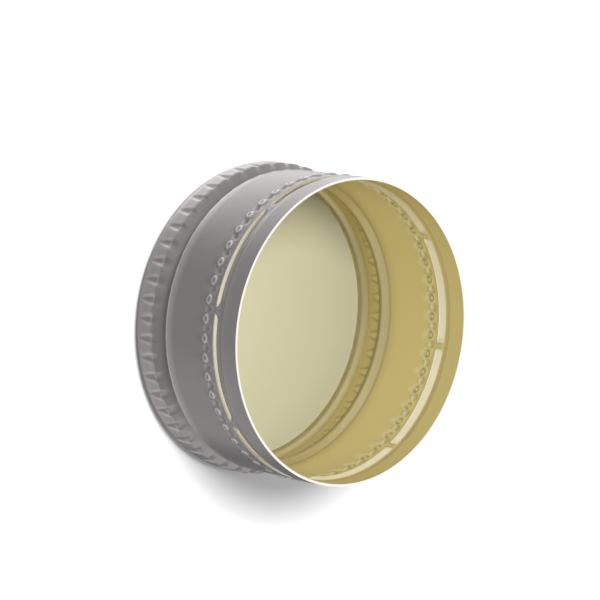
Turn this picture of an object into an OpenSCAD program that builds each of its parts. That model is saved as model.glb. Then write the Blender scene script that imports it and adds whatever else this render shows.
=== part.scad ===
// Roll-on bottle cap, drawn from one thin aluminium disc: shoulder, fluted grip band,
// rolled groove, plain skirt, row of small domes with dents between them, ring of slits
// with bridges, and a lower band that ends in an open rim.
// The cap stands on its closed panel: z = 0 is the panel's outer face, and +Z runs
// along the axis out of the open mouth.

/* [Cap] */
// Outer diameter over the grip band
cap_d = 28; // [24:0.5:40]
// Height from the closed panel to the rim
cap_h = 13.5; // [12.8:0.1:24]
// Wall thickness of the metal
wall = 0.22; // [0.18:0.01:0.3]
// Outer radius between the closed panel and the grip band
shoulder_r = 1.2; // [0.9:0.05:1.5]
// How far the plain skirt lies inside the grip band, on the radius
skirt_inset = 0.4; // [0.3:0.01:0.6]
// How far the lower band stands out from the skirt, on the radius
band_step = 0.1; // [0.05:0.01:0.3]
// Length of the sloping step between the skirt and the lower band, along the axis
step_h = 0.4; // [0.3:0.05:0.8]
// Distance from the slits to that step
step_gap = 0.1; // [0.05:0.05:0.4]

/* [Grip band] */
// Height at which the grip band ends and the groove's long flank starts
grip_h = 2.6; // [2.2:0.1:4.5]
// Number of flutes round the grip band
flutes = 50; // [30:1:60]
// Width of one flute where it meets the surface
flute_w = 0.56; // [0.4:0.02:0.8]
// Depth of one flute at the groove's edge
flute_depth = 0.2; // [0.12:0.01:0.24]
// Turn of the flutes round the axis, in degrees
flute_phase = 3.6; // [0:0.1:7.2]

/* [Groove] */
// Depth of the rolled groove, down to where its flanks would meet
groove_depth = 0.76; // [0.4:0.02:0.9]
// Radius at the bottom of the groove
groove_r = 0.12; // [0.1:0.01:0.25]
// Length of the groove's long flank, along the axis
flank_h = 0.7; // [0.6:0.05:1.2]
// Length of the groove's short flank, along the axis
lip_h = 0.66; // [0.5:0.02:1]

/* [Dome row] */
// Number of domes round the skirt, with one dent between each two
domes = 50; // [30:1:50]
// Distance from the rim to the middle of the dome row
dome_drop = 4.1; // [3.9:0.1:6]
// Diameter of one dome at its foot
dome_d = 0.96; // [0.8:0.02:0.98]
// Height of one dome above the skirt
dome_rise = 0.12; // [0.08:0.01:0.14]
// Diameter of one dent at its edge
dent_d = 0.74; // [0.6:0.02:0.76]
// Depth of one dent below the skirt
dent_depth = 0.1; // [0.06:0.01:0.12]
// How much nearer to the rim than the domes the dents lie
dent_shift = 0.15; // [0.05:0.05:0.3]
// Turn of the dome row round the axis, in degrees
dome_phase = 0; // [0:0.1:7.2]

/* [Slits] */
// Number of slits, with one bridge between each two
slits = 8; // [6:1:12]
// Distance from the rim to the rim side of the slits
slit_drop = 2.2; // [1.6:0.1:3]
// Width of a slit along the axis
slit_w = 0.9; // [0.6:0.05:1.1]
// Width of the bridge between two slits
bridge_w = 0.66; // [0.5:0.02:1.2]
// Angle from the wall of the tongue that is pressed inwards from the rim side of
// each slit, in degrees
tongue_angle = 18; // [12:1:30]
// Gap between the tip of a tongue and the skirt side of its slit
tip_gap = 0.26; // [0.2:0.02:0.3]
// Gap between the ends of a tongue and the ends of its slit
tongue_gap = 0.08; // [0.04:0.01:0.15]

/* [Hidden] */
// Share of the shoulder's height at which the flutes run out
run_out = 5/6;
// Facets of the large and of the small round shapes
$fn = 120;
small_fn = 32;
// Overrun of a cutter past the surface that it cuts
over = 0.5;
// How much larger than a tangent circle a rounding circle is, so that it crosses
// the sides that it rounds and leaves no sliver there
circle_grow = 1.003;
// How much a corner's piece is enlarged round the centre of its arc
corner_grow = 1.2;

grip_r = cap_d/2;
skirt_r = grip_r - skirt_inset;
band_r = skirt_r + band_step;

// Length of a flute, radius of the round bar that presses it, the radius its axis
// lies on at the groove's edge, and the lean of the bar
flute_len = grip_h - run_out*shoulder_r;
flute_r = (pow(flute_w/2, 2) + pow(flute_depth, 2))/(2*flute_depth);
flute_axis_r = grip_r - flute_depth + flute_r;
flute_lean = atan(flute_depth/flute_len);

// Radius of the ball that presses a dome, and the radius its centre lies on
dome_r = (pow(dome_d/2, 2) + pow(dome_rise, 2))/(2*dome_rise);
dome_axis_r = skirt_r + dome_rise - dome_r;

// Radius of the ball that presses a dent, and the radius its centre lies on
dent_r = (pow(dent_d/2, 2) + pow(dent_depth, 2))/(2*dent_depth);
dent_axis_r = skirt_r - dent_depth + dent_r;

slit_top_z = cap_h - slit_drop;
slit_z = slit_top_z - slit_w/2;
step_z = slit_top_z + step_gap;
dome_z = cap_h - dome_drop;
slit_pitch = 360/slits;
// Angle between the centres of the two round ends of a slit
slit_arc = slit_pitch - (bridge_w + slit_w)/skirt_r*180/PI;

// Corners of the outer half section, from the panel's centre to the rim, and the
// radius that rounds each of them
corners = [
    [0, 0],
    [grip_r, 0],
    [grip_r, grip_h],
    [skirt_r - groove_depth, grip_h + flank_h],
    [skirt_r, grip_h + flank_h + lip_h],
    [skirt_r, step_z],
    [band_r, step_z + step_h],
    [band_r, cap_h]
];
radii = [0, shoulder_r, wall, groove_r, wall, 0, 0, 0];

function unit(v) = v/norm(v);
function left(v) = [-v[1], v[0]];
function turn(a, v, b) = cross(v - a, b - v);

// Corner v between a and b, moved to the left of the path by the distance d
function mitre(a, v, b, d) =
    let (n = left(unit(v - a)), m = left(unit(b - v)))
    v + d*(n + m)/(1 + n*m);

// The corners of the form whose skin lies inside the outer skin by the distance d
function inner_corners(d) = [
    for (i = [0:len(corners) - 1])
        i == 0 ? [0, d]
        : i == len(corners) - 1 ? [band_r - d, cap_h + (d > 0 ? over : 0)]
        : mitre(corners[i - 1], corners[i], corners[i + 1], d)
];

// The piece between a corner v and the arc of radius r that rounds it, made larger
// than that on the sides away from the arc
module corner_piece(a, v, b, r) {
    u = unit(a - v);
    w = unit(b - v);
    half = acos(u*w)/2;
    centre = v + unit(u + w)*r/sin(half);
    kite = [v, v + u*r/tan(half), centre, v + w*r/tan(half)];
    difference() {
        polygon([for (p = kite) centre + corner_grow*(p - centre)]);
        translate(centre) circle(r = circle_grow*r, $fn = 2*small_fn);
    }
}

// Half section of the form whose skin lies inside the outer skin by the distance d
module form_section(d) {
    p = inner_corners(d);
    rounded = [for (i = [1:len(p) - 2]) if (radii[i] > 0) i];
    difference() {
        polygon(concat(p, [[0, p[len(p) - 1][1]]]));
        for (i = rounded)
            if (turn(p[i - 1], p[i], p[i + 1]) > 0 && radii[i] > d)
                corner_piece(p[i - 1], p[i], p[i + 1], radii[i] - d);
    }
    for (i = rounded)
        if (turn(p[i - 1], p[i], p[i + 1]) < 0)
            corner_piece(p[i - 1], p[i], p[i + 1], radii[i] + d);
}

// The bars that press the flutes. Each leans outwards on its way down, so that its
// flute runs out on the shoulder.
module flute_bars(d) {
    reach = flute_len + over;
    for (i = [0:flutes - 1])
        rotate(flute_phase + i*360/flutes)
            translate([flute_axis_r, 0, grip_h])
                rotate([0, -flute_lean, 0])
                    translate([0, 0, -reach])
                        cylinder(r = flute_r + d, h = reach + flank_h/2, $fn = small_fn);
}

module dome_ring(d) {
    for (i = [0:domes - 1])
        rotate(dome_phase + i*360/domes)
            translate([dome_axis_r, 0, dome_z])
                sphere(r = dome_r - d, $fn = small_fn);
}

// The balls that press the dents, each midway between two domes
module dent_ring(d) {
    for (i = [0:domes - 1])
        rotate(dome_phase + (i + 0.5)*360/domes)
            translate([dent_axis_r, 0, dome_z + dent_shift])
                sphere(r = dent_r + d, $fn = small_fn);
}

// The form whose skin lies inside the outer skin by the distance d
module form(d) {
    difference() {
        rotate_extrude() form_section(d);
        flute_bars(d);
        dent_ring(d);
    }
    dome_ring(d);
}

// One slit with round ends, grown by the distance g
module slit(g) {
    w = slit_w + 2*g;
    rotate(-slit_arc/2)
        rotate_extrude(angle = slit_arc)
            translate([band_r - 2*over, slit_z - w/2])
                square([3*over, w]);
    for (side = [-1, 1])
        rotate(side*slit_arc/2)
            translate([band_r - 2*over, 0, slit_z])
                rotate([90, 0, 90])
                    linear_extrude(3*over)
                        intersection() {
                            circle(r = circle_grow*w/2, $fn = 2*small_fn);
                            square([2*w, w], center = true);
                        }
}

// Half section of a tongue, a strip that leans inwards from the rim side of a slit.
// Its foot lies inside the wall.
module tongue_section() {
    length = slit_w - tip_gap;
    tip = [skirt_r - length*tan(tongue_angle), slit_top_z - length];
    inset = wall/10;
    polygon([[skirt_r - inset, slit_top_z + inset], tip, tip - [wall, 0],
        [skirt_r - wall + inset, slit_top_z + inset]]);
}

// One tongue, cut to the outline of its slit less a gap at the ends
module tongue() {
    intersection() {
        rotate(-slit_pitch/2)
            rotate_extrude(angle = slit_pitch)
                tongue_section();
        union() {
            slit(-tongue_gap);
            rotate(-slit_arc/2)
                rotate_extrude(angle = slit_arc)
                    translate([band_r - 2*over, slit_z])
                        square([3*over, slit_w]);
        }
    }
}

module cap_shell() {
    color([0.47, 0.45, 0.45]) {
        difference() {
            form(0);
            form(wall);
            for (i = [0:slits - 1])
                rotate((i + 0.5)*slit_pitch)
                    slit(0);
        }
        for (i = [0:slits - 1])
            rotate((i + 0.5)*slit_pitch)
                tongue();
    }
}

cap_shell();
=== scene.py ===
"""Looks of a roll-on bottle cap: one thin shell, grey lacquer outside and pale gold inside."""

import logging
import math
from dataclasses import dataclass, field
from enum import Enum
from typing import Any

import bpy
import numpy as np
from mathutils import Matrix, Vector


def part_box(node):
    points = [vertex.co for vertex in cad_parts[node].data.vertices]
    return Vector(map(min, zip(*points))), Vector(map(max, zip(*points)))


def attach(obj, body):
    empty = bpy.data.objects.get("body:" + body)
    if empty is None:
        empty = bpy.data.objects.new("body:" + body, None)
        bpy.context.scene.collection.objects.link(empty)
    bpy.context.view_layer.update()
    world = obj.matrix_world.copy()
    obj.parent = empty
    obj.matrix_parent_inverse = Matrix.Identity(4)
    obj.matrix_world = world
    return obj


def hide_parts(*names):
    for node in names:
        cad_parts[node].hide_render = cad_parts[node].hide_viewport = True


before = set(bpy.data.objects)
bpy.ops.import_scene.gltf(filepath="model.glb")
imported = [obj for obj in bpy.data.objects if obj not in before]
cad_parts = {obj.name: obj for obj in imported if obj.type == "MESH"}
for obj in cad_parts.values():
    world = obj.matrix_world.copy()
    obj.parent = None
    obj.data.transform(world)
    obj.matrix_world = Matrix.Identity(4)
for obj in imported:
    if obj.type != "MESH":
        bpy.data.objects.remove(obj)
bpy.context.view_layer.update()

log = logging.getLogger("bottle_cap")

MM = 0.001
CAP_NODE = "cap_shell"

# Attributes of the skin that the finishes read
BEND = "bend"
# The next two carry light and shade painted by height, outside and inside
OUTER_PAINTED_TONE = "outer_painted_tone"
INNER_PAINTED_TONE = "inner_painted_tone"
# Attributes of the skin that only serve to build the shell
ANGLE = "angle"
ALONG = "along"
SECTION_NORMAL = "section_normal"
PART = "part"

# How near to a height or a radius a ring of points counts as lying on it
CLOSE = 0.01 * MM
# Angle between two faces above which the edge between them shows as sharp
SHARP_ANGLE = math.radians(55)
# Detail of the broad and of the fine noise in the finishes, and the fine one's height
CLOUD_DETAIL = 3.0
GRAIN_DETAIL = 4.0
GRAIN_HEIGHT = 0.01 * MM
# Places of the Mix node's two colour inputs and of its colour output
MIX_FIRST = 6
MIX_SECOND = 7
MIX_RESULT = 2


class Skin(Enum):
    """The parts of the shell's surface, by their place in the mesh's list of materials.

    The wall's inner face takes the place after its outer face's, and a cut edge the next.
    """

    OUTSIDE = 0
    INSIDE = 1
    CUT_EDGE = 2
    TONGUE_OUTSIDE = 3
    TONGUE_INSIDE = 4
    TONGUE_EDGE = 5
    PANEL_OUTSIDE = 6
    PANEL_INSIDE = 7
    PANEL_EDGE = 8


@dataclass(frozen=True)
class Corner:
    """A corner of the shell's outer half section, on the way from the panel's centre to the rim.

    Attributes:
        r: Distance from the axis.
        z: Height above the closed panel's outer face.
        bend: Outer radius that rounds the corner, or 0.
        bend_steps: Number of steps round the bend.
        lead_steps: Number of steps on the straight that leads to the corner.
    """

    r: float
    z: float
    bend: float = 0.0
    bend_steps: int = 0
    lead_steps: int = 1


@dataclass
class Row:
    """One ring of points of the shell's outer skin.

    Attributes:
        r: Distance from the axis.
        z: Height above the closed panel's outer face.
        along: Length of the section from the panel's centre to this ring.
        normal: Outward normal of the section there, as (radial, axial).
    """

    r: float
    z: float
    along: float
    normal: tuple[float, float]


@dataclass
class SkinRings:
    """All the rings of the plain skin, and the places of those at the slits.

    Attributes:
        rows: The rings, from the closed panel to the rim.
        edge: Place of the ring on the slits' skirt side.
        tip: Place of the ring at the tongues' tips.
        foot: Place of the ring at the tongues' feet.
    """

    rows: list[Row]
    edge: int
    tip: int
    foot: int


@dataclass
class Flutes:
    """Sizes of the flutes, which are deepest at the groove and run out at the shoulder.

    Attributes:
        count: Number of flutes round the cap.
        half_width: Half the width where a flute is deepest, as measured on the skirt.
        depth: Depth at the grip band's edge.
        length: Length from a flute's start to the grip band's edge.
        phase: Angle of the first flute.
        overrun: Length past the grip band's edge in which a flute ends.
    """

    count: int = 50
    half_width: float = 0.45 * MM
    depth: float = 0.2 * MM
    length: float = 1.6 * MM
    phase: float = math.radians(3.6)
    overrun: float = 0.3 * MM


@dataclass
class Domes:
    """Sizes of the domes pressed out of the skirt and of the dents between them.

    Attributes:
        count: Number of domes round the cap, and of dents.
        diameter: Width of a dome round the cap.
        squeeze: Length of a dome along the cap's axis as a share of its width.
        rise: Height of a dome above the skirt, without its dish.
        dish: Depth of the dish in a dome's top.
        phase: Angle of the first dome.
        drop_from_rim: Distance from the rim to the middle of the row.
        side: Share of a dome's radius that its rising side takes up, before the dish.
        dent_radius: Radius of a dent.
        dent_depth: Depth of a dent below the skirt.
        dent_shift: How much nearer to the rim than the domes the dents lie.
        margin: Distance from the row's middle to its outermost rings, as a share of the
            diameter.
        margin_shift: Share of the dents' shift by which the last ring lies nearer to the rim.
    """

    count: int = 50
    diameter: float = 1.04 * MM
    squeeze: float = 0.92
    rise: float = 0.14 * MM
    dish: float = 0.05 * MM
    phase: float = 0.0
    drop_from_rim: float = 4.1 * MM
    side: float = 0.4
    dent_radius: float = 0.42 * MM
    dent_depth: float = 0.12 * MM
    dent_shift: float = 0.15 * MM
    margin: float = 0.51
    margin_shift: float = 0.4


@dataclass
class Slits:
    """Sizes of the ring of slits and of the tongue pressed inwards beside each slit.

    Attributes:
        count: Number of slits round the cap, with a bridge between each two.
        width: Width of a slit along the cap's axis.
        drop_from_rim: Distance from the rim to the slits' rim side.
        bridge: Width of the bridge between two slits.
        end_length: Length of a slit's round end, round the cap.
        edge_follow: Share of a round end's bow that the ring below the slit follows.
        tongue_height: Length of a tongue from its foot to its tip, along the cap's axis.
        tongue_lean: Angle from the wall of a fully pressed tongue.
        tongue_start: Distance from a bridge's middle at which the pressing starts, as a
            share of the bridge's width.
        tongue_fade: Length round the cap over which it grows to the full lean.
        closed_gap: Distance between the slit's edge and the tongue's tip where they meet.
    """

    count: int = 8
    width: float = 0.9 * MM
    drop_from_rim: float = 2.2 * MM
    bridge: float = 0.66 * MM
    end_length: float = 0.42 * MM
    edge_follow: float = 0.4
    tongue_height: float = 0.7 * MM
    tongue_lean: float = math.radians(18)
    tongue_start: float = 0.3
    tongue_fade: float = 0.7 * MM
    closed_gap: float = 0.03 * MM


@dataclass
class PaintedGrooveTones:
    """Light and shade painted by height along the grip band and the groove: above 0 paler, below 0
    darker.

    Attributes:
        grip: Outside, on the grip band.
        edge: Outside, at the grip band's edge.
        flank: Outside, on the long flank near the groove's bottom.
        groove: Outside, at the groove's bottom.
        lip: Outside, on the lip between the groove and the skirt.
        inner_grip: Inside, behind the grip band.
        inner_edge: Inside, behind the grip band's edge.
        ridge: Inside, on the ridge behind the groove's bottom.
        ridge_foot: Inside, at that ridge's foot on the skirt's side.
        lip_past: Distance from the lip's corner to its palest place, in mm.
    """

    grip: float = 0.15
    edge: float = -0.45
    flank: float = -0.2
    groove: float = -0.7
    lip: float = 1.2
    inner_grip: float = -0.15
    inner_edge: float = -0.3
    ridge: float = -1.15
    ridge_foot: float = -0.2
    lip_past: float = 0.09


class TreeMaker:
    """Adds nodes to a node tree and links them, with short calls."""

    def __init__(self, tree: bpy.types.NodeTree) -> None:
        """Keeps the tree.

        Args:
            tree: The node tree to fill.
        """
        self.tree = tree

    def node(self, kind: str, **settings: Any) -> bpy.types.Node:
        """Adds one node.

        Args:
            kind: The node's type.
            settings: Attributes to set on it.

        Returns:
            The new node.
        """
        made = self.tree.nodes.new(kind)
        for name, value in settings.items():
            setattr(made, name, value)
        return made

    def feed(self, socket: bpy.types.NodeSocket, value: Any) -> None:
        """Links a socket to an output, or sets its value.

        Args:
            socket: The input to fill.
            value: An output socket, or a plain value.
        """
        if isinstance(value, bpy.types.NodeSocket):
            self.tree.links.new(value, socket)
        else:
            socket.default_value = value

    def sockets(self, way: str, kind: str, *labels: str) -> None:
        """Adds sockets of one kind to the tree's interface.

        Args:
            way: INPUT or OUTPUT.
            kind: The last word of the sockets' type, such as Float.
            labels: Their names.
        """
        for label in labels:
            self.tree.interface.new_socket(label, in_out=way, socket_type="NodeSocket" + kind)

    def calc(self, operation: str, *values: Any, clamp: bool = False) -> bpy.types.NodeSocket:
        """Adds a Math node.

        Args:
            operation: The operation's name.
            values: Its inputs, as sockets or numbers.
            clamp: Whether to clamp the result to 0 to 1.

        Returns:
            The node's output.
        """
        made = self.node("ShaderNodeMath", operation=operation, use_clamp=clamp)
        for socket, value in zip(made.inputs, values):
            self.feed(socket, value)
        return made.outputs[0]

    def scaled(self, vector: Any, factor: Any) -> bpy.types.NodeSocket:
        """Adds a node that multiplies a vector or a colour by a number.

        Args:
            vector: The vector or the colour.
            factor: The number.

        Returns:
            The node's output.
        """
        made = self.node("ShaderNodeVectorMath", operation="SCALE")
        self.feed(made.inputs[0], vector)
        self.feed(made.inputs["Scale"], factor)
        return made.outputs[0]

    def ramp(self, value: Any, low: Any, high: Any) -> bpy.types.NodeSocket:
        """Adds a smooth step from 0 at low to 1 at high.

        Args:
            value: The value that is mapped.
            low: Where the step starts.
            high: Where it ends.

        Returns:
            The step's output.
        """
        made = self.node("ShaderNodeMapRange", interpolation_type="SMOOTHSTEP")
        self.feed(made.inputs["Value"], value)
        self.feed(made.inputs["From Min"], low)
        self.feed(made.inputs["From Max"], high)
        return made.outputs["Result"]


class ReliefTree:
    """Geometry Nodes that press the flutes, the domes and the dents into the plain skin."""

    FLOATS = ("Flute Count", "Flute Half Width", "Flute Depth", "Flute Length", "Flute Phase",
              "Flute End", "Flute Overrun", "Dome Count", "Dome Radius", "Dome Squeeze",
              "Dome Rise", "Dome Dish", "Dome Side", "Dome Phase", "Dome Place", "Dent Phase",
              "Dent Radius", "Dent Depth", "Dent Shift", "Arc Radius")

    def __init__(self, name: str) -> None:
        """Builds the tree.

        Args:
            name: The tree's name.
        """
        self.tree = bpy.data.node_groups.new(name, "GeometryNodeTree")
        self.make = TreeMaker(self.tree)
        self.make.sockets("INPUT", "Geometry", "Geometry")
        self.make.sockets("INPUT", "Float", *self.FLOATS)
        self.make.sockets("INPUT", "Material", "Finish")
        self.make.sockets("OUTPUT", "Geometry", "Geometry")
        self.given = self.make.node("NodeGroupInput").outputs
        self.build()

    def attribute(self, name: str, kind: str = "FLOAT") -> bpy.types.NodeSocket:
        """Reads a point attribute of the plain skin.

        Args:
            name: The attribute's name.
            kind: Its data type.

        Returns:
            The attribute's values.
        """
        read = self.make.node("GeometryNodeInputNamedAttribute", data_type=kind)
        read.inputs["Name"].default_value = name
        return read.outputs["Attribute"]

    def arc_distance(self, count: str, phase: str) -> bpy.types.NodeSocket:
        """Works out the distance round the cap to the nearest repeat of a pattern.

        Args:
            count: Name of the input that holds the number of repeats.
            phase: Name of the input that holds the first repeat's angle.

        Returns:
            The signed distance along the arc.
        """
        calc, given = self.make.calc, self.given
        turn = calc("SUBTRACT", self.attribute(ANGLE), given[phase])
        pitches = calc("MULTIPLY", turn, calc("DIVIDE", given[count], math.tau))
        nearest = calc("SUBTRACT", calc("FRACT", calc("ADD", pitches, 0.5)), 0.5)
        girth = calc("MULTIPLY", math.tau, given["Arc Radius"])
        return calc("MULTIPLY", nearest, calc("DIVIDE", girth, given[count]))

    def flute_depth(self) -> bpy.types.NodeSocket:
        """Works out how deep the flutes press the skin inwards.

        Returns:
            The depth at each point.
        """
        calc, given = self.make.calc, self.given
        along = self.attribute(ALONG)
        across = self.arc_distance("Flute Count", "Flute Phase")
        share = calc("DIVIDE", across, given["Flute Half Width"])
        start = calc("SUBTRACT", given["Flute End"], given["Flute Length"])
        sunk = calc("DIVIDE", calc("SUBTRACT", along, start), given["Flute Length"], clamp=True)
        bowl = calc("SUBTRACT", sunk, calc("MULTIPLY", share, share), clamp=True)
        stop = calc("ADD", given["Flute End"], given["Flute Overrun"])
        end = self.make.ramp(along, given["Flute End"], stop)
        shape = calc("MULTIPLY", bowl, calc("SUBTRACT", 1.0, end))
        return calc("MULTIPLY", shape, given["Flute Depth"])

    def distance(self, phase: str, shift: Any, squeeze: Any) -> bpy.types.NodeSocket:
        """Works out the distance on the skin to the nearest middle of a row of spots.

        Args:
            phase: Name of the input that holds the first spot's angle.
            shift: How far past the domes' place the row lies.
            squeeze: Length of a spot along the cap's axis as a share of its width.

        Returns:
            The distance, as measured round the cap.
        """
        calc, given = self.make.calc, self.given
        across = self.arc_distance("Dome Count", phase)
        place = calc("ADD", given["Dome Place"], shift)
        up = calc("DIVIDE", calc("SUBTRACT", self.attribute(ALONG), place), squeeze)
        squares = calc("ADD", calc("MULTIPLY", across, across), calc("MULTIPLY", up, up))
        return calc("SQRT", squares)

    def dome_height(self) -> bpy.types.NodeSocket:
        """Works out how far the domes press the skin outwards, with a dish in each top.

        Returns:
            The height at each point.
        """
        calc, given = self.make.calc, self.given
        away = self.distance("Dome Phase", 0.0, given["Dome Squeeze"])
        inwards = calc("SUBTRACT", 1.0, calc("DIVIDE", away, given["Dome Radius"]))
        side = self.make.ramp(inwards, 0.0, given["Dome Side"])
        dish = self.make.ramp(inwards, given["Dome Side"], 1.0)
        raised = calc("MULTIPLY", side, given["Dome Rise"])
        return calc("SUBTRACT", raised, calc("MULTIPLY", dish, given["Dome Dish"]))

    def dent_depth(self) -> bpy.types.NodeSocket:
        """Works out how deep the dents between the domes press the skin inwards.

        Returns:
            The depth at each point.
        """
        calc, given = self.make.calc, self.given
        away = self.distance("Dent Phase", given["Dent Shift"], 1.0)
        inwards = calc("SUBTRACT", 1.0, calc("DIVIDE", away, given["Dent Radius"]))
        bowl = self.make.ramp(inwards, 0.0, 1.0)
        return calc("MULTIPLY", bowl, given["Dent Depth"])

    def build(self) -> None:
        """Links the relief to the skin, and ends in Realize Instances and Set Material."""
        make = self.make
        sunk = make.calc("ADD", self.flute_depth(), self.dent_depth())
        relief = make.calc("SUBTRACT", self.dome_height(), sunk)
        offset = make.scaled(self.attribute(SECTION_NORMAL, "FLOAT_VECTOR"), relief)
        press = make.node("GeometryNodeSetPosition")
        make.feed(press.inputs["Geometry"], self.given["Geometry"])
        make.feed(press.inputs["Offset"], offset)
        smooth = make.node("GeometryNodeSetShadeSmooth")
        make.feed(smooth.inputs["Geometry"], press.outputs["Geometry"])
        real = make.node("GeometryNodeRealizeInstances")
        make.feed(real.inputs["Geometry"], smooth.outputs["Geometry"])
        finish = make.node("GeometryNodeSetMaterial")
        make.feed(finish.inputs["Geometry"], real.outputs["Geometry"])
        make.feed(finish.inputs["Material"], self.given["Finish"])
        end = make.node("NodeGroupOutput")
        make.feed(end.inputs["Geometry"], finish.outputs["Geometry"])

    def fit(self, modifier: bpy.types.NodesModifier, values: dict[str, Any]) -> None:
        """Sets the inputs of a modifier that runs this tree, by their identifiers.

        Args:
            modifier: The Geometry Nodes modifier.
            values: The inputs' names and values.
        """
        for item in self.tree.interface.items_tree:
            if item.in_out == "INPUT" and item.name in values:
                modifier[item.identifier] = values[item.name]


def grain_group() -> bpy.types.NodeTree:
    """Builds the shader group for the fine unevenness that all the finishes share.

    Returns:
        The group, with a tinted colour, a roughness and a height.
    """
    tree = bpy.data.node_groups.new("rolled_sheet_grain", "ShaderNodeTree")
    make = TreeMaker(tree)
    make.sockets("INPUT", "Color", "Colour")
    make.sockets("INPUT", "Float", "Cloud Scale", "Cloud Strength", "Grain Scale",
                 "Roughness", "Roughness Spread")
    make.sockets("OUTPUT", "Color", "Colour")
    make.sockets("OUTPUT", "Float", "Roughness", "Height")
    given = make.node("NodeGroupInput").outputs
    place = make.node("ShaderNodeTexCoord").outputs["Object"]
    cloud = make.node("ShaderNodeTexNoise")
    make.feed(cloud.inputs["Vector"], place)
    make.feed(cloud.inputs["Scale"], given["Cloud Scale"])
    make.feed(cloud.inputs["Detail"], CLOUD_DETAIL)
    fine = make.node("ShaderNodeTexNoise")
    make.feed(fine.inputs["Vector"], place)
    make.feed(fine.inputs["Scale"], given["Grain Scale"])
    make.feed(fine.inputs["Detail"], GRAIN_DETAIL)
    clouds = make.calc("SUBTRACT", cloud.outputs["Fac"], 0.5)
    brightness = make.calc("ADD", 1.0, make.calc("MULTIPLY", clouds, given["Cloud Strength"]))
    grains = make.calc("SUBTRACT", fine.outputs["Fac"], 0.5)
    spread = make.calc("MULTIPLY", grains, given["Roughness Spread"])
    end = make.node("NodeGroupOutput")
    make.feed(end.inputs["Colour"], make.scaled(given["Colour"], brightness))
    make.feed(end.inputs["Roughness"], make.calc("ADD", given["Roughness"], spread))
    make.feed(end.inputs["Height"], fine.outputs["Fac"])
    return tree


def painted_bend_light_group() -> bpy.types.NodeTree:
    """Builds the shader group that paints highlights on sharp bends and shade in creases.

    Returns:
        The group, which turns a colour into another.
    """
    tree = bpy.data.node_groups.new("painted_bend_light", "ShaderNodeTree")
    make = TreeMaker(tree)
    make.sockets("INPUT", "Color", "Colour", "Highlight Colour")
    make.sockets("INPUT", "Float", "Side", "Highlight Gain", "Crease Shade", "Painted Tone")
    make.sockets("OUTPUT", "Color", "Colour")
    given = make.node("NodeGroupInput").outputs
    # Painted light: a paler highlight colour on edges, and darker painted shade in creases and
    # where the painted tone is below 0
    bend = make.node("ShaderNodeAttribute", attribute_name=BEND).outputs["Fac"]
    outward = make.calc("ADD", make.calc("MULTIPLY", bend, given["Side"]), given["Painted Tone"])
    mix = make.node("ShaderNodeMix", data_type="RGBA")
    make.feed(mix.inputs[0], make.calc("MULTIPLY", outward, given["Highlight Gain"], clamp=True))
    make.feed(mix.inputs[MIX_FIRST], given["Colour"])
    make.feed(mix.inputs[MIX_SECOND], given["Highlight Colour"])
    inward = make.calc("MULTIPLY", outward, -1.0, clamp=True)
    crease_darkening = make.calc("MULTIPLY", inward, given["Crease Shade"])
    left = make.calc("SUBTRACT", 1.0, crease_darkening, clamp=True)
    shade = make.scaled(mix.outputs[MIX_RESULT], left)
    make.feed(make.node("NodeGroupOutput").inputs["Colour"], shade)
    return tree


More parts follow.
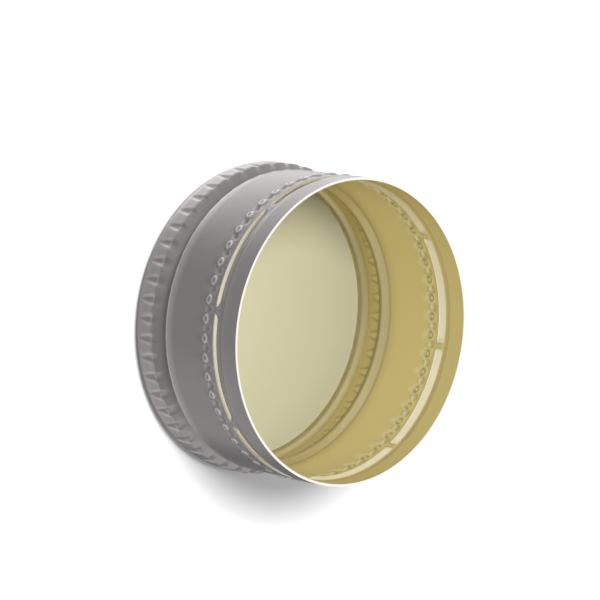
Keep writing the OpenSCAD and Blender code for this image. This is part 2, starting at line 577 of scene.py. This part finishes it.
@dataclass(frozen=True)
class Finish:
    """A finish of the sheet: colour, gloss, grain, painted highlights on bends, painted shade in
    creases.

    Attributes:
        name: The material's name.
        colour: Its colour on plain stretches.
        metallic: How much of it mirrors as metal does.
        roughness: How matt it is.
        roughness_spread: How much the roughness varies with the grain.
        cloud_scale: Scale of the broad unevenness of the colour.
        cloud_strength: How much that unevenness changes the brightness.
        grain_scale: Scale of the fine grain.
        bump: How much of the fine grain's height shows.
        side: 1 for the outer skin, and -1 for the inner one, where an edge is a crease.
        highlight_colour: The highlight colour painted on sharp bends.
        highlight_gain: How soon a bend takes that painted highlight.
        crease_shade: How much darker the shade painted in a crease is.
        painted_tone_name: Name of the attribute with light and shade painted by height, or
            nothing.
    """

    name: str
    colour: tuple[float, float, float]
    metallic: float
    roughness: float
    roughness_spread: float
    cloud_scale: float
    cloud_strength: float
    grain_scale: float
    bump: float
    side: float = 1.0
    highlight_colour: tuple[float, float, float] = (0.9, 0.88, 0.85)
    highlight_gain: float = 0.0
    crease_shade: float = 0.0
    painted_tone_name: str = ""

    def material(self, grain: bpy.types.NodeTree, bends: bpy.types.NodeTree) -> bpy.types.Material:
        """Builds the material.

        Args:
            grain: The shared grain group.
            bends: The shared group for bends and creases.

        Returns:
            The new material.
        """
        made = bpy.data.materials.new(self.name)
        made.use_nodes = True
        make = TreeMaker(made.node_tree)
        uneven = make.node("ShaderNodeGroup", node_tree=grain)
        for label, value in (
            ("Colour", (*self.colour, 1.0)),
            ("Cloud Scale", self.cloud_scale),
            ("Cloud Strength", self.cloud_strength),
            ("Grain Scale", self.grain_scale),
            ("Roughness", self.roughness),
            ("Roughness Spread", self.roughness_spread),
        ):
            make.feed(uneven.inputs[label], value)
        bump = make.node("ShaderNodeBump")
        make.feed(bump.inputs["Strength"], self.bump)
        make.feed(bump.inputs["Distance"], GRAIN_HEIGHT)
        make.feed(bump.inputs["Height"], uneven.outputs["Height"])
        # Light and shade painted by height
        painted_tone_node = make.node("ShaderNodeAttribute", attribute_name=self.painted_tone_name)
        bent = make.node("ShaderNodeGroup", node_tree=bends)
        for label, value in (
            ("Colour", uneven.outputs["Colour"]),
            ("Highlight Colour", (*self.highlight_colour, 1.0)),
            ("Side", self.side),
            ("Highlight Gain", self.highlight_gain),
            ("Crease Shade", self.crease_shade),
            ("Painted Tone", painted_tone_node.outputs["Fac"]),
        ):
            make.feed(bent.inputs[label], value)
        surface = made.node_tree.nodes["Principled BSDF"]
        make.feed(surface.inputs["Metallic"], self.metallic)
        make.feed(surface.inputs["Base Color"], bent.outputs["Colour"])
        make.feed(surface.inputs["Roughness"], uneven.outputs["Roughness"])
        make.feed(surface.inputs["Normal"], bump.outputs["Normal"])
        return made


# The lacquers paint highlights on their bends, and shade in their creases and by height
OUTER_LACQUER = Finish(
    name="grey_lacquer", colour=(0.372, 0.343, 0.345), metallic=0.95,
    roughness=0.22, roughness_spread=0.05, cloud_scale=260.0, cloud_strength=0.08,
    grain_scale=2600.0, bump=0.12, side=1.0, highlight_colour=(0.9, 0.88, 0.87),
    highlight_gain=1.3, crease_shade=0.35, painted_tone_name=OUTER_PAINTED_TONE,
)
INNER_LACQUER = Finish(
    name="gold_lacquer", colour=(0.83, 0.72, 0.385), metallic=0.88,
    roughness=0.36, roughness_spread=0.06, cloud_scale=200.0, cloud_strength=0.06,
    grain_scale=2600.0, bump=0.12, side=-1.0, highlight_colour=(0.97, 0.94, 0.78),
    highlight_gain=1.9, crease_shade=1.0, painted_tone_name=INNER_PAINTED_TONE,
)
PANEL_LACQUER = Finish(
    name="satin_gold_lacquer", colour=(0.435, 0.415, 0.28), metallic=0.35,
    roughness=0.45, roughness_spread=0.05, cloud_scale=160.0, cloud_strength=0.05,
    grain_scale=2600.0, bump=0.12,
)
BARE_METAL = Finish(
    name="cut_aluminium", colour=(0.91, 0.875, 0.83), metallic=0.9,
    roughness=0.4, roughness_spread=0.1, cloud_scale=900.0, cloud_strength=0.08,
    grain_scale=5000.0, bump=0.3,
)
# A paler gold for the tongues' inside: painted sheen that stands for their bright reflection
TONGUE_PAINTED_SHEEN = Finish(
    name="tongue_painted_sheen", colour=(0.86, 0.81, 0.61), metallic=0.6,
    roughness=0.45, roughness_spread=0.08, cloud_scale=500.0, cloud_strength=0.1,
    grain_scale=2600.0, bump=0.15,
)


@dataclass
class CapShell:
    """The whole cap: one drawn shell with its relief, slits and finishes.

    Attributes:
        radius: Outer radius over the grip band.
        height: Height from the closed panel to the rim.
        wall: Thickness of the metal.
        shoulder_bend: Outer radius between the closed panel and the grip band.
        skirt_inset: How far the plain skirt lies inside the grip band.
        crown_sag: How far the skirt draws in towards the groove's lip.
        crown_length: Length of the skirt on which it draws in.
        band_step: How far the lower band stands out from the skirt.
        band_bend: Outer radius at the lower band's start.
        band_lead: Distance from the lower band's start to the ring after it.
        step_gap: Distance from the slits to the step between the skirt and the band.
        step_height: Length of that step along the axis.
        grip_height: Height at which the grip band ends.
        flank: Length of the groove's long flank along the axis.
        lip: Length of the groove's short flank along the axis.
        groove_depth: Depth of the groove below the skirt, down to where its flanks meet.
        groove_bend: Radius at the bottom of the groove.
        edge_bend: Outer radius at the grip band's edge.
        lip_bend: Outer radius between the groove's short flank and the skirt.
        flutes: Sizes of the flutes.
        domes: Sizes of the domes and the dents.
        slits: Sizes of the slits and their tongues.
        painted_tones: Light and shade painted along the grip band and the groove.
    """

    radius: float
    height: float
    wall: float = 0.22 * MM
    shoulder_bend: float = 1.2 * MM
    skirt_inset: float = 0.4 * MM
    crown_sag: float = 0.07 * MM
    crown_length: float = 3.5 * MM
    band_step: float = 0.1 * MM
    band_bend: float = 0.2 * MM
    band_lead: float = 0.15 * MM
    step_gap: float = 0.1 * MM
    step_height: float = 0.3 * MM
    grip_height: float = 2.6 * MM
    flank: float = 0.7 * MM
    lip: float = 0.66 * MM
    groove_depth: float = 0.76 * MM
    groove_bend: float = 0.14 * MM
    edge_bend: float = 0.3 * MM
    lip_bend: float = 0.6 * MM
    flutes: Flutes = field(default_factory=Flutes)
    domes: Domes = field(default_factory=Domes)
    slits: Slits = field(default_factory=Slits)
    painted_tones: PaintedGrooveTones = field(default_factory=PaintedGrooveTones)

    # Places of the columns in half a flute pitch, from the middle of a flute and a dent
    # at 0 to the middle of a dome at 0.5
    COLUMN_PLACES = (0.0, 0.05, 0.1, 0.155, 0.22, 0.275, 0.335, 0.41, 0.5)
    # Places of the columns on a slit's round end, as shares of its length
    END_PLACES = (0.0, 0.1, 0.3, 0.6, 1.0)
    # Number of columns past a round end in which the others' shift fades
    FADING_COLUMNS = 14

    @property
    def skirt_radius(self) -> float:
        """Outer radius of the plain skirt."""
        return self.radius - self.skirt_inset

    @property
    def slit_top(self) -> float:
        """Height of the slits' rim side."""
        return self.height - self.slits.drop_from_rim

    @property
    def slit_bottom(self) -> float:
        """Height of the slits' skirt side."""
        return self.slit_top - self.slits.width

    @property
    def tip_z(self) -> float:
        """Height of the tongues' tips, before they are pressed inwards."""
        return self.slit_top - self.slits.tongue_height

    @property
    def dome_z(self) -> float:
        """Height of the middle of the dome row."""
        return self.height - self.domes.drop_from_rim

    def lower_corners(self) -> list[Corner]:
        """Lists the section's corners from the panel's centre to the slits.

        Returns:
            The corners, in order.
        """
        groove_z = self.grip_height + self.flank
        lip_z = groove_z + self.lip
        margin = self.domes.margin * self.domes.diameter
        past_dents = margin + self.domes.margin_shift * self.domes.dent_shift
        crown = [Corner(self.skirt_radius - self.crown_sag * (1.0 - share) ** 2,
                        lip_z + self.crown_length * share) for share in (1 / 3, 2 / 3, 1.0)]
        return [
            Corner(0.0, 0.0),
            Corner(self.radius, 0.0, self.shoulder_bend, bend_steps=7, lead_steps=2),
            Corner(self.radius, self.grip_height, self.edge_bend, bend_steps=3, lead_steps=5),
            Corner(self.skirt_radius - self.groove_depth, groove_z, self.groove_bend,
                   bend_steps=5, lead_steps=2),
            Corner(self.skirt_radius - self.crown_sag, lip_z, self.lip_bend, bend_steps=4),
            *crown,
            Corner(self.skirt_radius, self.dome_z - margin, lead_steps=2),
            Corner(self.skirt_radius, self.dome_z + past_dents, lead_steps=13),
            Corner(self.skirt_radius, self.slit_bottom, lead_steps=2),
        ]

    def upper_corners(self) -> list[Corner]:
        """Lists the section's corners from the tongues' tips to the rim.

        Returns:
            The corners, in order.
        """
        band_radius = self.skirt_radius + self.band_step
        step_z = self.slit_top + self.step_gap
        band_z = step_z + self.step_height
        return [
            Corner(self.skirt_radius, self.tip_z),
            Corner(self.skirt_radius, self.slit_top, lead_steps=3),
            Corner(self.skirt_radius, step_z),
            Corner(band_radius, band_z, self.band_bend, bend_steps=3),
            Corner(band_radius, band_z + self.band_lead),
            Corner(band_radius, self.height),
        ]

    def rows(self, corners: list[Corner], along: float) -> list[Row]:
        """Turns corners into rings of points, with bends rounded.

        Args:
            corners: The corners of one piece of the section.
            along: Length of the section before the first corner.

        Returns:
            The rings, in order.
        """
        points: list[tuple[float, float]] = [(corners[0].r, corners[0].z)]
        for here, after in zip(corners[1:], corners[2:] + [None]):
            start, middle = Vector(points[-1]), Vector((here.r, here.z))
            arc: list[Vector] = [middle]
            if here.bend and after is not None:
                end = Vector((after.r, after.z))
                arc = rounded(start, middle, end, here.bend, here.bend_steps)
            for step in range(1, here.lead_steps):
                points.append(tuple(start.lerp(arc[0], step / here.lead_steps)))
            points.extend(tuple(point) for point in arc)
        made = []
        for i, (r, z) in enumerate(points):
            if i:
                along += math.hypot(r - points[i - 1][0], z - points[i - 1][1])
            ahead = Vector(points[min(i + 1, len(points) - 1)])
            behind = Vector(points[max(i - 1, 0)])
            run = (ahead - behind).normalized()
            made.append(Row(r, z, along, (run.y, -run.x)))
        return made

    def rings(self) -> SkinRings:
        """Works out the rings of the plain skin, all but the panel's centre.

        Returns:
            The rings, with the places of those at the slits.
        """
        lower = self.rows(self.lower_corners(), 0.0)
        upper = self.rows(self.upper_corners(), lower[-1].along + self.tip_z - self.slit_bottom)
        rows, tip = lower[1:] + upper, len(lower) - 1
        foot = next(i for i in range(tip, len(rows)) if rows[i].z >= self.slit_top - CLOSE)
        return SkinRings(rows, tip - 1, tip, foot)

    def grip_end(self, rings: SkinRings) -> float:
        """Works out the length of the section up to the grip band's edge.

        Args:
            rings: The rings of the skin.

        Returns:
            The length from the panel's centre.
        """
        return next(row.along for row in rings.rows if row.z > self.grip_height - CLOSE)

    def dome_place(self, rings: SkinRings) -> float:
        """Works out the length of the section up to the middle of the dome row.

        Args:
            rings: The rings of the skin.

        Returns:
            The length from the panel's centre.
        """
        pairs = zip(rings.rows, rings.rows[1:])
        below = next(low for low, high in pairs if low.z <= self.dome_z <= high.z)
        return below.along + (self.dome_z - below.z)

    def columns(self) -> np.ndarray:
        """Works out the angle of each column of the plain skin.

        Returns:
            The angles, in radians, from 0 to a full turn.
        """
        pitch = math.tau / self.flutes.count
        half = np.array(self.COLUMN_PLACES)
        one = np.concatenate([half, 1.0 - half[-2:0:-1]])
        starts = np.arange(self.flutes.count) * pitch + self.flutes.phase
        return np.sort(np.mod((starts[:, None] + one[None, :] * pitch).ravel(), math.tau))

    def bridge_distance(self, angles: np.ndarray) -> np.ndarray:
        """Works out the distance round the skirt to the nearest bridge's middle.

        Args:
            angles: Angles, in radians.

        Returns:
            The unsigned distances.
        """
        pitch = math.tau / self.slits.count
        nearest = np.mod(angles / pitch + 0.5, 1.0) - 0.5
        return np.abs(nearest) * pitch * self.skirt_radius

    def slit_columns(self, angles: np.ndarray) -> tuple[np.ndarray, np.ndarray]:
        """Moves the columns beside each bridge, so that the slits' ends fall on columns.

        Args:
            angles: The plain columns' angles.

        Returns:
            The moved angles, and a mask of the columns from which a slit goes on to the next.
        """
        moved = angles.copy()
        open_from = np.ones(len(angles), dtype=bool)
        half = 0.5 * self.slits.bridge
        on_bridge = [0.0, half / 3, 2 * half / 3]
        places = on_bridge + [half + share * self.slits.end_length for share in self.END_PLACES]
        last = len(places) - 1
        for k in range(self.slits.count):
            middle = k * math.tau / self.slits.count
            centre = int(np.argmin(np.abs(wrapped(angles - middle))))
            for side in (-1, 1):
                for step, place in enumerate(places):
                    column = (centre + side * step) % len(angles)
                    moved[column] = middle + side * place / self.skirt_radius
                # The columns past the round end run back to their own places
                column = (centre + side * last) % len(angles)
                shift = wrapped(moved[column] - angles[column])
                for step in range(1, self.FADING_COLUMNS):
                    column = (centre + side * (last + step)) % len(angles)
                    moved[column] = angles[column] + shift * (1 - step / self.FADING_COLUMNS)
            for step in range(-len(on_bridge), len(on_bridge)):
                open_from[(centre + step) % len(angles)] = False
        return moved, open_from

    def ring_points(self, rings: SkinRings, i: int, turn: np.ndarray) -> np.ndarray:
        """Places the points of one ring, with the slits' edges and the tongues.

        Args:
            rings: The rings of the skin.
            i: The ring's place among them.
            turn: The angles of the ring's columns.

        Returns:
            The points, one to a row.
        """
        row, slits = rings.rows[i], self.slits
        r, z = np.full(len(turn), row.r), np.full(len(turn), row.z)
        distance = self.bridge_distance(turn)
        share = np.clip((distance - 0.5 * slits.bridge) / slits.end_length, 0.0, 1.0)
        opening = np.sqrt(np.clip(1.0 - (1.0 - share) ** 2, 0.0, 1.0))
        meet_z = 0.5 * (self.slit_bottom + self.tip_z)
        if i == rings.edge - 1:
            z = z + slits.edge_follow * (meet_z - self.slit_bottom) * (1.0 - opening)
        elif i == rings.edge:
            z = meet_z - 0.5 * slits.closed_gap + (self.slit_bottom - meet_z) * opening
        elif rings.tip <= i < rings.foot:
            from_bridge = distance - slits.tongue_start * slits.bridge
            fade = np.clip(from_bridge / slits.tongue_fade, 0.0, 1.0)
            lean = slits.tongue_lean * (fade * fade * (3 - 2 * fade))
            tip = meet_z + 0.5 * slits.closed_gap + (self.tip_z - meet_z) * opening
            drop = (self.slit_top - tip) * ((self.slit_top - row.z) / slits.tongue_height)
            r = r - drop * np.tan(lean)
            z = self.slit_top - drop
        return np.column_stack((r * np.cos(turn), r * np.sin(turn), z))

    def skin_faces(self, rings: SkinRings,
                   open_from: np.ndarray) -> tuple[list[tuple[int, ...]], list[int]]:
        """Lists the faces of the plain skin and the part that each belongs to.

        Args:
            rings: The rings of the skin.
            open_from: The mask of the columns from which a slit goes on to the next.

        Returns:
            The faces, as the places of their points, and their parts' numbers.
        """
        count = len(open_from)
        panel_radius = self.radius - self.shoulder_bend + CLOSE
        faces: list[tuple[int, ...]] = [(0, 1 + (j + 1) % count, 1 + j) for j in range(count)]
        parts = [Skin.PANEL_OUTSIDE.value] * count
        for i in range(len(rings.rows) - 1):
            low, high = 1 + i * count, 1 + (i + 1) * count
            plain = Skin.PANEL_OUTSIDE if rings.rows[i + 1].r <= panel_radius else Skin.OUTSIDE
            for j in range(count):
                if i == rings.edge and open_from[j]:
                    continue
                n = (j + 1) % count
                faces.append((low + j, low + n, high + n, high + j))
                on_tongue = rings.tip <= i < rings.foot and open_from[j]
                parts.append((Skin.TONGUE_OUTSIDE if on_tongue else plain).value)
        return faces, parts

    def plain_skin(self, rings: SkinRings) -> bpy.types.Object:
        """Builds the outer skin with its slits and tongues, and without flutes and domes.

        Args:
            rings: The rings of the skin.

        Returns:
            An object whose points carry their angle, their place along the section and its
            normal, and whose faces carry their part.
        """
        angles = self.columns()
        moved, open_from = self.slit_columns(angles)
        turns, along, points = [np.zeros(1)], [np.zeros(1)], [np.zeros((1, 3))]
        normals = [np.array([[0.0, 0.0, -1.0]])]
        for i, row in enumerate(rings.rows):
            turn = moved if rings.edge - 1 <= i <= rings.foot + 1 else angles
            radial, axial = row.normal
            turns.append(turn)
            along.append(np.full(len(turn), row.along))
            points.append(self.ring_points(rings, i, turn))
            normals.append(np.column_stack((radial * np.cos(turn), radial * np.sin(turn),
                                            np.full(len(turn), axial))))
        faces, parts = self.skin_faces(rings, open_from)
        mesh = bpy.data.meshes.new("cap_skin")
        mesh.from_pydata(np.concatenate(points).tolist(), [], faces)
        store(mesh, ANGLE, np.concatenate(turns))
        store(mesh, ALONG, np.concatenate(along))
        layer = mesh.attributes.new(SECTION_NORMAL, "FLOAT_VECTOR", "POINT")
        layer.data.foreach_set("vector", np.concatenate(normals).astype(np.float32).ravel())
        mesh.attributes.new(PART, "INT", "FACE").data.foreach_set("value", parts)
        skin = bpy.data.objects.new("cap_skin", mesh)
        bpy.context.scene.collection.objects.link(skin)
        return skin

    def press_relief(self, skin: bpy.types.Object, rings: SkinRings,
                     finish: bpy.types.Material) -> bpy.types.Object:
        """Presses the flutes, the domes and the dents into the plain skin.

        Args:
            skin: The plain skin, which is used up.
            rings: The rings of the skin.
            finish: The finish that the outer skin gets.

        Returns:
            The pressed skin.
        """
        relief = ReliefTree("cap_relief")
        modifier = skin.modifiers.new("relief", "NODES")
        modifier.node_group = relief.tree
        relief.fit(modifier, {
            "Flute Count": float(self.flutes.count),
            "Flute Half Width": self.flutes.half_width,
            "Flute Depth": self.flutes.depth,
            "Flute Length": self.flutes.length,
            "Flute Phase": self.flutes.phase,
            "Flute End": self.grip_end(rings),
            "Flute Overrun": self.flutes.overrun,
            "Dome Count": float(self.domes.count),
            "Dome Radius": 0.5 * self.domes.diameter,
            "Dome Squeeze": self.domes.squeeze,
            "Dome Rise": self.domes.rise,
            "Dome Dish": self.domes.dish,
            "Dome Side": self.domes.side,
            "Dome Phase": self.domes.phase,
            "Dome Place": self.dome_place(rings),
            "Dent Phase": self.domes.phase + math.pi / self.domes.count,
            "Dent Radius": self.domes.dent_radius,
            "Dent Depth": self.domes.dent_depth,
            "Dent Shift": self.domes.dent_shift,
            "Arc Radius": self.skirt_radius,
            "Finish": finish,
        })
        return plain_mesh(skin, "pressed_skin")

    def paint_groove_tones(self, mesh: bpy.types.Mesh) -> None:
        """Stores the light and shade painted outside and inside, which follow the height.

        Args:
            mesh: The pressed skin.
        """
        places = np.empty(3 * len(mesh.vertices))
        mesh.vertices.foreach_get("co", places)
        painted_tones = self.painted_tones
        edge = self.grip_height / MM
        groove = edge + self.flank / MM
        lip = groove + self.lip / MM + painted_tones.lip_past
        # Each pair is a height in mm and the painted tone there: above 0 a highlight, below 0
        # shade
        outer = (
            (0.7, 0.0), (1.1, painted_tones.grip), (edge - 0.3, painted_tones.grip), (edge, painted_tones.edge),
            (groove - 0.1, painted_tones.flank), (groove, painted_tones.groove), (groove + 0.15, 0.0),
            (lip - 0.2, 0.0), (lip, painted_tones.lip), (lip + 0.18, 0.0),
        )
        inner = (
            (1.6, 0.0), (2.1, painted_tones.inner_grip), (edge, painted_tones.inner_edge),
            (groove - 0.1, painted_tones.ridge), (groove + 0.04, painted_tones.ridge),
            (groove + 0.16, painted_tones.ridge_foot), (lip - 0.1, 0.0),
        )
        for name, profile in ((OUTER_PAINTED_TONE, outer), (INNER_PAINTED_TONE, inner)):
            heights, levels = zip(*profile)
            store(mesh, name, np.interp(places[2::3] / MM, heights, levels))

    def add_wall(self, pressed: bpy.types.Object) -> bpy.types.Object:
        """Gives the pressed skin its thickness, on the inside.

        Args:
            pressed: The pressed skin, which is used up.

        Returns:
            The closed shell.
        """
        wall = pressed.modifiers.new("wall", "SOLIDIFY")
        wall.thickness = self.wall
        wall.offset = -1.0
        wall.use_even_offset = True
        wall.use_rim = True
        wall.material_offset = Skin.INSIDE.value
        wall.material_offset_rim = Skin.CUT_EDGE.value
        shell = plain_mesh(pressed, "dressed_cap")
        shell.data.set_sharp_from_angle(angle=SHARP_ANGLE)
        return shell

    def build(self) -> bpy.types.Object:
        """Builds the finished shell.

        Returns:
            One mesh object at the origin, with its finishes.
        """
        grain, bends = grain_group(), painted_bend_light_group()
        outer, inner, cut, tongue_sheen, panel = (finish.material(grain, bends) for finish in (
            OUTER_LACQUER, INNER_LACQUER, BARE_METAL, TONGUE_PAINTED_SHEEN, PANEL_LACQUER
        ))
        rings = self.rings()
        pressed = self.press_relief(self.plain_skin(rings), rings, outer)
        # Curvature and height, which the finishes turn into painted highlights and painted shade
        mark_bends(pressed.data)
        self.paint_groove_tones(pressed.data)
        # The relief's tree has set the finish of the outside, the first of the list
        finishes = {
            Skin.INSIDE: inner, Skin.CUT_EDGE: cut,
            Skin.TONGUE_OUTSIDE: outer, Skin.TONGUE_INSIDE: tongue_sheen, Skin.TONGUE_EDGE: cut,
            Skin.PANEL_OUTSIDE: outer, Skin.PANEL_INSIDE: panel, Skin.PANEL_EDGE: cut,
        }
        for part in list(Skin)[1:]:
            pressed.data.materials.append(finishes[part])
        parts = np.zeros(len(pressed.data.polygons), dtype=np.int32)
        pressed.data.attributes[PART].data.foreach_get("value", parts)
        pressed.data.polygons.foreach_set("material_index", parts)
        shell = self.add_wall(pressed)
        for name in (ANGLE, ALONG, SECTION_NORMAL, PART):
            shell.data.attributes.remove(shell.data.attributes[name])
        return shell


def wrapped(angle: Any) -> Any:
    """Brings an angle or an array of angles to between minus and plus half a turn."""
    return np.mod(angle + math.pi, math.tau) - math.pi


def rounded(start: Vector, middle: Vector, end: Vector, bend: float, steps: int) -> list[Vector]:
    """Rounds the corner of two straights.

    Args:
        start: A point on the first straight.
        middle: The corner.
        end: A point on the second straight.
        bend: Radius of the arc.
        steps: Number of steps along the arc.

    Returns:
        The arc's points, in order.
    """
    back, ahead = (start - middle).normalized(), (end - middle).normalized()
    half = 0.5 * math.acos(max(-1.0, min(1.0, back.dot(ahead))))
    centre = middle + (back + ahead).normalized() * bend / math.sin(half)
    first = middle + back * bend / math.tan(half)
    last = middle + ahead * bend / math.tan(half)
    from_angle = math.atan2(*(first - centre).yx)
    sweep = math.atan2(*(last - centre).yx) - from_angle
    sweep = (sweep + math.pi) % math.tau - math.pi
    angles = [from_angle + sweep * i / steps for i in range(steps + 1)]
    return [centre + bend * Vector((math.cos(angle), math.sin(angle))) for angle in angles]


def store(mesh: bpy.types.Mesh, name: str, values: np.ndarray) -> None:
    """Stores one number for each point of a mesh.

    Args:
        mesh: The mesh.
        name: Name of the new attribute.
        values: The numbers, in the order of the points.
    """
    layer = mesh.attributes.new(name, "FLOAT", "POINT")
    layer.data.foreach_set("value", values.astype(np.float32))


def mark_bends(mesh: bpy.types.Mesh, half_at: float = 2.5 / MM,
               shortest: float = 0.04 * MM) -> None:
    """Stores how sharply the skin bends at each point: above 0 on an edge, below 0 in a crease.

    Args:
        mesh: The skin.
        half_at: The mean curvature that is stored as one half.
        shortest: The length that a shorter edge is taken to have.
    """
    places = np.empty(3 * len(mesh.vertices))
    normals = np.empty(3 * len(mesh.vertices))
    ends = np.empty(2 * len(mesh.edges), dtype=int)
    mesh.vertices.foreach_get("co", places)
    mesh.vertices.foreach_get("normal", normals)
    mesh.edges.foreach_get("vertices", ends)
    places, normals, ends = places.reshape(-1, 3), normals.reshape(-1, 3), ends.reshape(-1, 2)
    step = places[ends[:, 0]] - places[ends[:, 1]]
    turn = normals[ends[:, 0]] - normals[ends[:, 1]]
    curvature = (turn * step).sum(1) / np.maximum((step * step).sum(1), shortest ** 2)
    total, degree = np.zeros(len(places)), np.zeros(len(places))
    for column in (0, 1):
        np.add.at(total, ends[:, column], curvature)
        np.add.at(degree, ends[:, column], 1.0)
    mean = total / np.maximum(degree, 1.0)
    store(mesh, BEND, mean / (np.abs(mean) + half_at))


def plain_mesh(source: bpy.types.Object, name: str) -> bpy.types.Object:
    """Turns an object with modifiers into a plain mesh object and removes the source.

    Args:
        source: The object with live modifiers.
        name: The new object's name.

    Returns:
        The new object.
    """
    graph = bpy.context.evaluated_depsgraph_get()
    mesh = bpy.data.meshes.new_from_object(source.evaluated_get(graph), depsgraph=graph)
    mesh.name = name
    made = bpy.data.objects.new(name, mesh)
    bpy.context.scene.collection.objects.link(made)
    bpy.data.objects.remove(source, do_unlink=True)
    return made


@dataclass(frozen=True)
class SkyPatch:
    """A soft round patch of the tent.

    Attributes:
        way: The direction of its middle, of length 1.
        edge: Cosine of the angle from its middle at which it starts.
        full: Cosine of the angle within which it has its full tone.
        tone: Its brightness.
    """

    way: tuple[float, float, float]
    edge: float
    full: float
    tone: float


@dataclass
class Studio:
    """The pale floor, the tent, the soft light and the camera.

    Attributes:
        floor_size: Length of the floor's sides.
        floor_colour: The floor's colour.
        floor_roughness: How matt the floor is.
        floor_gloss: How much light the floor mirrors.
        key_place: Place of the lamp, which points at the origin.
        key_size: Diameter of the lamp.
        key_power: Power of the lamp, in watts.
        sky_tone: Brightness of the tent outside its patches.
        sky_patches: The tent's darker and brighter patches, each laid over those before it.
        camera_elevation: Angle of the camera above the horizon.
        camera_roll: Turn of the camera round its line of sight.
        camera_distance: Distance from the camera to the point that it looks at.
        camera_aim: That point.
        camera_lens: The camera's focal length, in mm.
        sensor: Width of the camera's sensor, in mm.
        clip: Nearest and farthest distance that the camera shows.
    """

    floor_size: float = 6.0
    floor_colour: tuple[float, float, float] = (0.64, 0.64, 0.64)
    floor_roughness: float = 0.9
    floor_gloss: float = 0.1
    key_place: tuple[float, float, float] = (-0.16, -0.22, 0.545)
    key_size: float = 0.26
    key_power: float = 6.4
    sky_tone: float = 0.85
    sky_patches: tuple[SkyPatch, ...] = (
        SkyPatch((0.0, -0.8, -0.6), 0.45, 0.97, 0.46),
        SkyPatch((0.0, -0.6, 0.8), 0.3, 0.8, 0.46),
        SkyPatch((0.0, 0.677, 0.736), 0.5, 0.95, 1.05),
        SkyPatch((-0.68, -0.05, 0.73), 0.6, 0.95, 0.65),
        SkyPatch((-0.28, 0.61, -0.74), 0.6, 0.95, 1.2),
        SkyPatch((0.60, 0.36, -0.71), 0.45, 0.85, 0.54),
        SkyPatch((0.30, 0.60, -0.74), 0.85, 1.0, 0.22),
        SkyPatch((0.0, -0.25, -0.97), 0.8, 0.97, 0.42),
    )
    # The camera looks along +Y and down, and is rolled so that +X points down in the picture
    camera_elevation: float = math.radians(47.4)
    camera_roll: float = math.radians(99.3)
    camera_distance: float = 483.6 * MM
    camera_aim: tuple[float, float, float] = (-2.06 * MM, -3.7 * MM, 10.1 * MM)
    camera_lens: float = 330.0
    sensor: float = 36.0
    clip: tuple[float, float] = (0.01, 100.0)

    def floor(self) -> None:
        """Lays the floor under the cap."""
        mesh = bpy.data.meshes.new("floor")
        half = 0.5 * self.floor_size
        corners = [(-half, -half, 0), (half, -half, 0), (half, half, 0), (-half, half, 0)]
        mesh.from_pydata(corners, [], [(0, 1, 2, 3)])
        floor = bpy.data.objects.new("floor", mesh)
        bpy.context.scene.collection.objects.link(floor)
        material = bpy.data.materials.new("floor_card")
        material.use_nodes = True
        surface = material.node_tree.nodes["Principled BSDF"]
        surface.inputs["Base Color"].default_value = (*self.floor_colour, 1.0)
        surface.inputs["Roughness"].default_value = self.floor_roughness
        surface.inputs["Specular IOR Level"].default_value = self.floor_gloss
        mesh.materials.append(material)
        floor.visible_glossy = False

    def world(self) -> None:
        """Surrounds the cap with a pale tent that has darker and brighter patches."""
        world = bpy.data.worlds.new("tent")
        bpy.context.scene.world = world
        world.use_nodes = True
        make = TreeMaker(world.node_tree)
        way = make.node("ShaderNodeTexCoord").outputs["Generated"]
        tone: Any = self.sky_tone
        for patch in self.sky_patches:
            facing = make.node("ShaderNodeVectorMath", operation="DOT_PRODUCT")
            make.feed(facing.inputs[0], way)
            make.feed(facing.inputs[1], patch.way)
            mask = make.ramp(facing.outputs["Value"], patch.edge, patch.full)
            change = make.calc("MULTIPLY", mask, make.calc("SUBTRACT", patch.tone, tone))
            tone = make.calc("ADD", tone, change)
        back = world.node_tree.nodes["Background"]
        make.feed(back.inputs["Strength"], tone)
        make.feed(back.inputs["Color"], (1.0, 1.0, 1.0, 1.0))

    def light(self) -> None:
        """Hangs the soft key light."""
        data = bpy.data.lights.new("key", "AREA")
        data.shape = "DISK"
        data.size = self.key_size
        data.energy = self.key_power
        lamp = bpy.data.objects.new("key", data)
        place = Vector(self.key_place)
        turn = place.to_track_quat("Z", "Y").to_matrix().to_4x4()
        lamp.matrix_world = Matrix.Translation(place) @ turn
        lamp.visible_glossy = False
        bpy.context.scene.collection.objects.link(lamp)

    def camera(self) -> None:
        """Sets up the camera at the photograph's viewing angle."""
        data = bpy.data.cameras.new("camera")
        data.lens = self.camera_lens
        data.sensor_width = self.sensor
        data.clip_start, data.clip_end = self.clip
        camera = bpy.data.objects.new("camera", data)
        sin, cos = math.sin(self.camera_elevation), math.cos(self.camera_elevation)
        level = Matrix(((1, 0, 0), (0, sin, -cos), (0, cos, sin))).to_4x4()
        place = Vector(self.camera_aim) + self.camera_distance * Vector((0, -cos, sin))
        roll = Matrix.Rotation(self.camera_roll, 4, "Z")
        camera.matrix_world = Matrix.Translation(place) @ level @ roll
        bpy.context.scene.collection.objects.link(camera)
        bpy.context.scene.camera = camera

    def build(self) -> None:
        """Sets up the whole studio, with tones shown as they are."""
        bpy.context.scene.view_settings.view_transform = "Standard"
        self.camera()
        self.floor()
        self.world()
        self.light()


def main() -> None:
    """Builds the studio and the cap."""
    logging.basicConfig(level=logging.INFO, format="%(message)s")
    low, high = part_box(CAP_NODE)
    Studio().build()
    cap = CapShell(radius=0.5 * (high[0] - low[0]), height=high[2] - low[2])
    shell = cap.build()
    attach(shell, "root")
    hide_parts(CAP_NODE)
    log.info("%s: %d faces", shell.name, len(shell.data.polygons))


if __name__ == "__main__":
    main()
